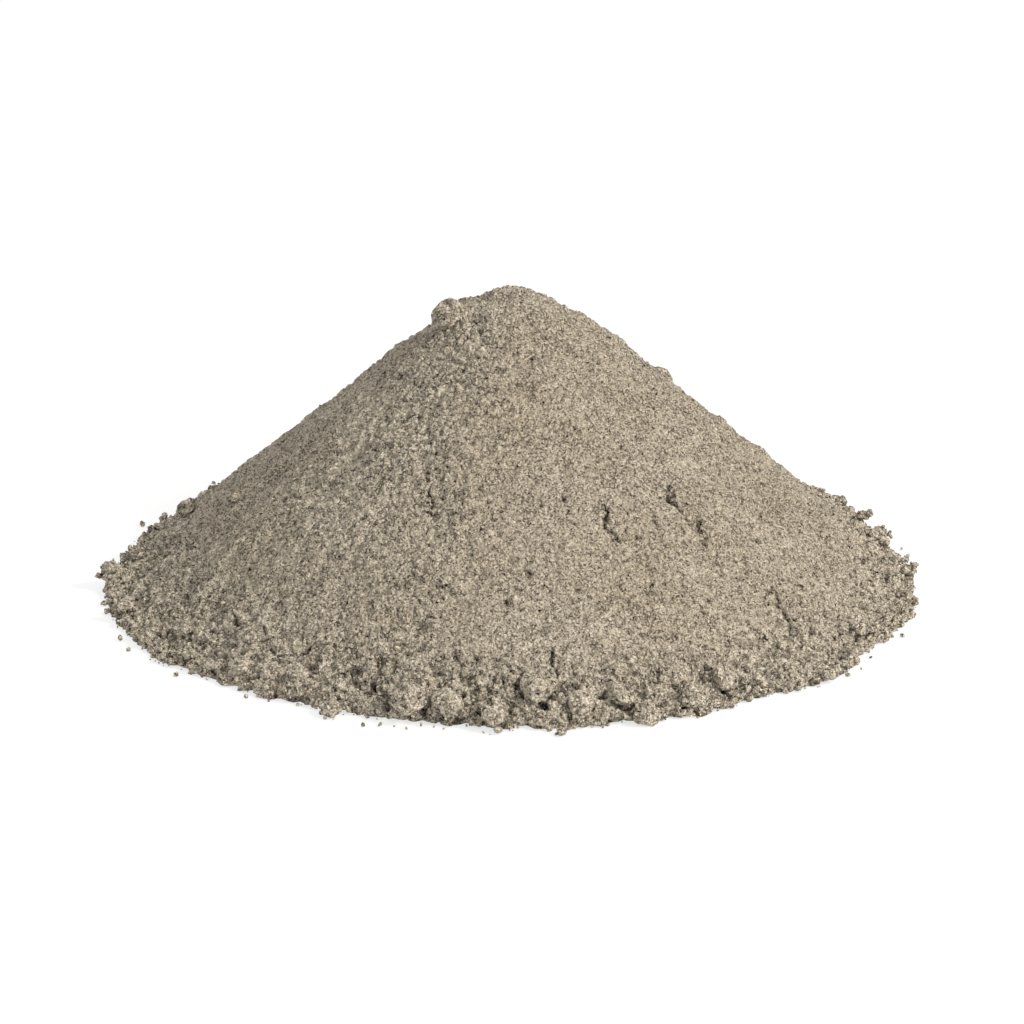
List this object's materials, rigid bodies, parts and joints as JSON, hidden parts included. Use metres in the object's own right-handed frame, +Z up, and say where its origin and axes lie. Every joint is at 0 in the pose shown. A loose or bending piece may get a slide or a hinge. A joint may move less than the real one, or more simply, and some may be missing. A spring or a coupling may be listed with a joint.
{
  "type": "plaster powder heap",
  "caption": "Poured conical heap of dry skim coat plaster powder, with a rounded tip, slide gullies and caked clods on its flank and edge.",
  "frame": {"origin": "middle of the round base, on the flat underside that lies on the floor", "axes": "+Z up through the tip, -Y towards the side that the picture shows, +X to that side's right"},
  "size_m": [0.2472, 0.2511, 0.0908],
  "materials": {
    "skim_coat_powder": "matt, dry, finely crumbed powder",
    "caked_powder": "matt, dry, caked powder"
  },
  "bodies": {
    "root": {"powder_heap": "skim_coat_powder", "summit_clod": "caked_powder", "back_left_clod": "caked_powder", "back_left_pebble": "caked_powder", "left_gully_clod": "caked_powder", "left_tip_clod": "caked_powder", "left_rim_clod": "caked_powder", "left_skirt_clod": "caked_powder", "front_left_clod_1": "caked_powder", "front_left_clod_2": "caked_powder", "front_left_clod_3": "caked_powder", "front_clod_1": "caked_powder", "front_clod_2": "caked_powder", "front_clod_3": "caked_powder", "front_clod_4": "caked_powder", "front_clod_5": "caked_powder", "front_clod_6": "caked_powder", "front_clod_7": "caked_powder", "front_pebble_1": "caked_powder", "front_pebble_2": "caked_powder", "front_right_clod_1": "caked_powder", "front_right_clod_2": "caked_powder", "front_right_clod_3": "caked_powder", "right_rim_clod_1": "caked_powder", "right_rim_clod_2": "caked_powder", "right_tip_clod": "caked_powder", "right_back_clod_1": "caked_powder", "right_back_clod_2": "caked_powder", "right_back_clod_3": "caked_powder", "back_clod_1": "caked_powder", "back_clod_2": "caked_powder", "back_clod_3": "caked_powder", "back_clod_4": "caked_powder", "back_clod_5": "caked_powder", "back_clod_6": "caked_powder", "back_clod_7": "caked_powder"}
  },
  "joints": []
}
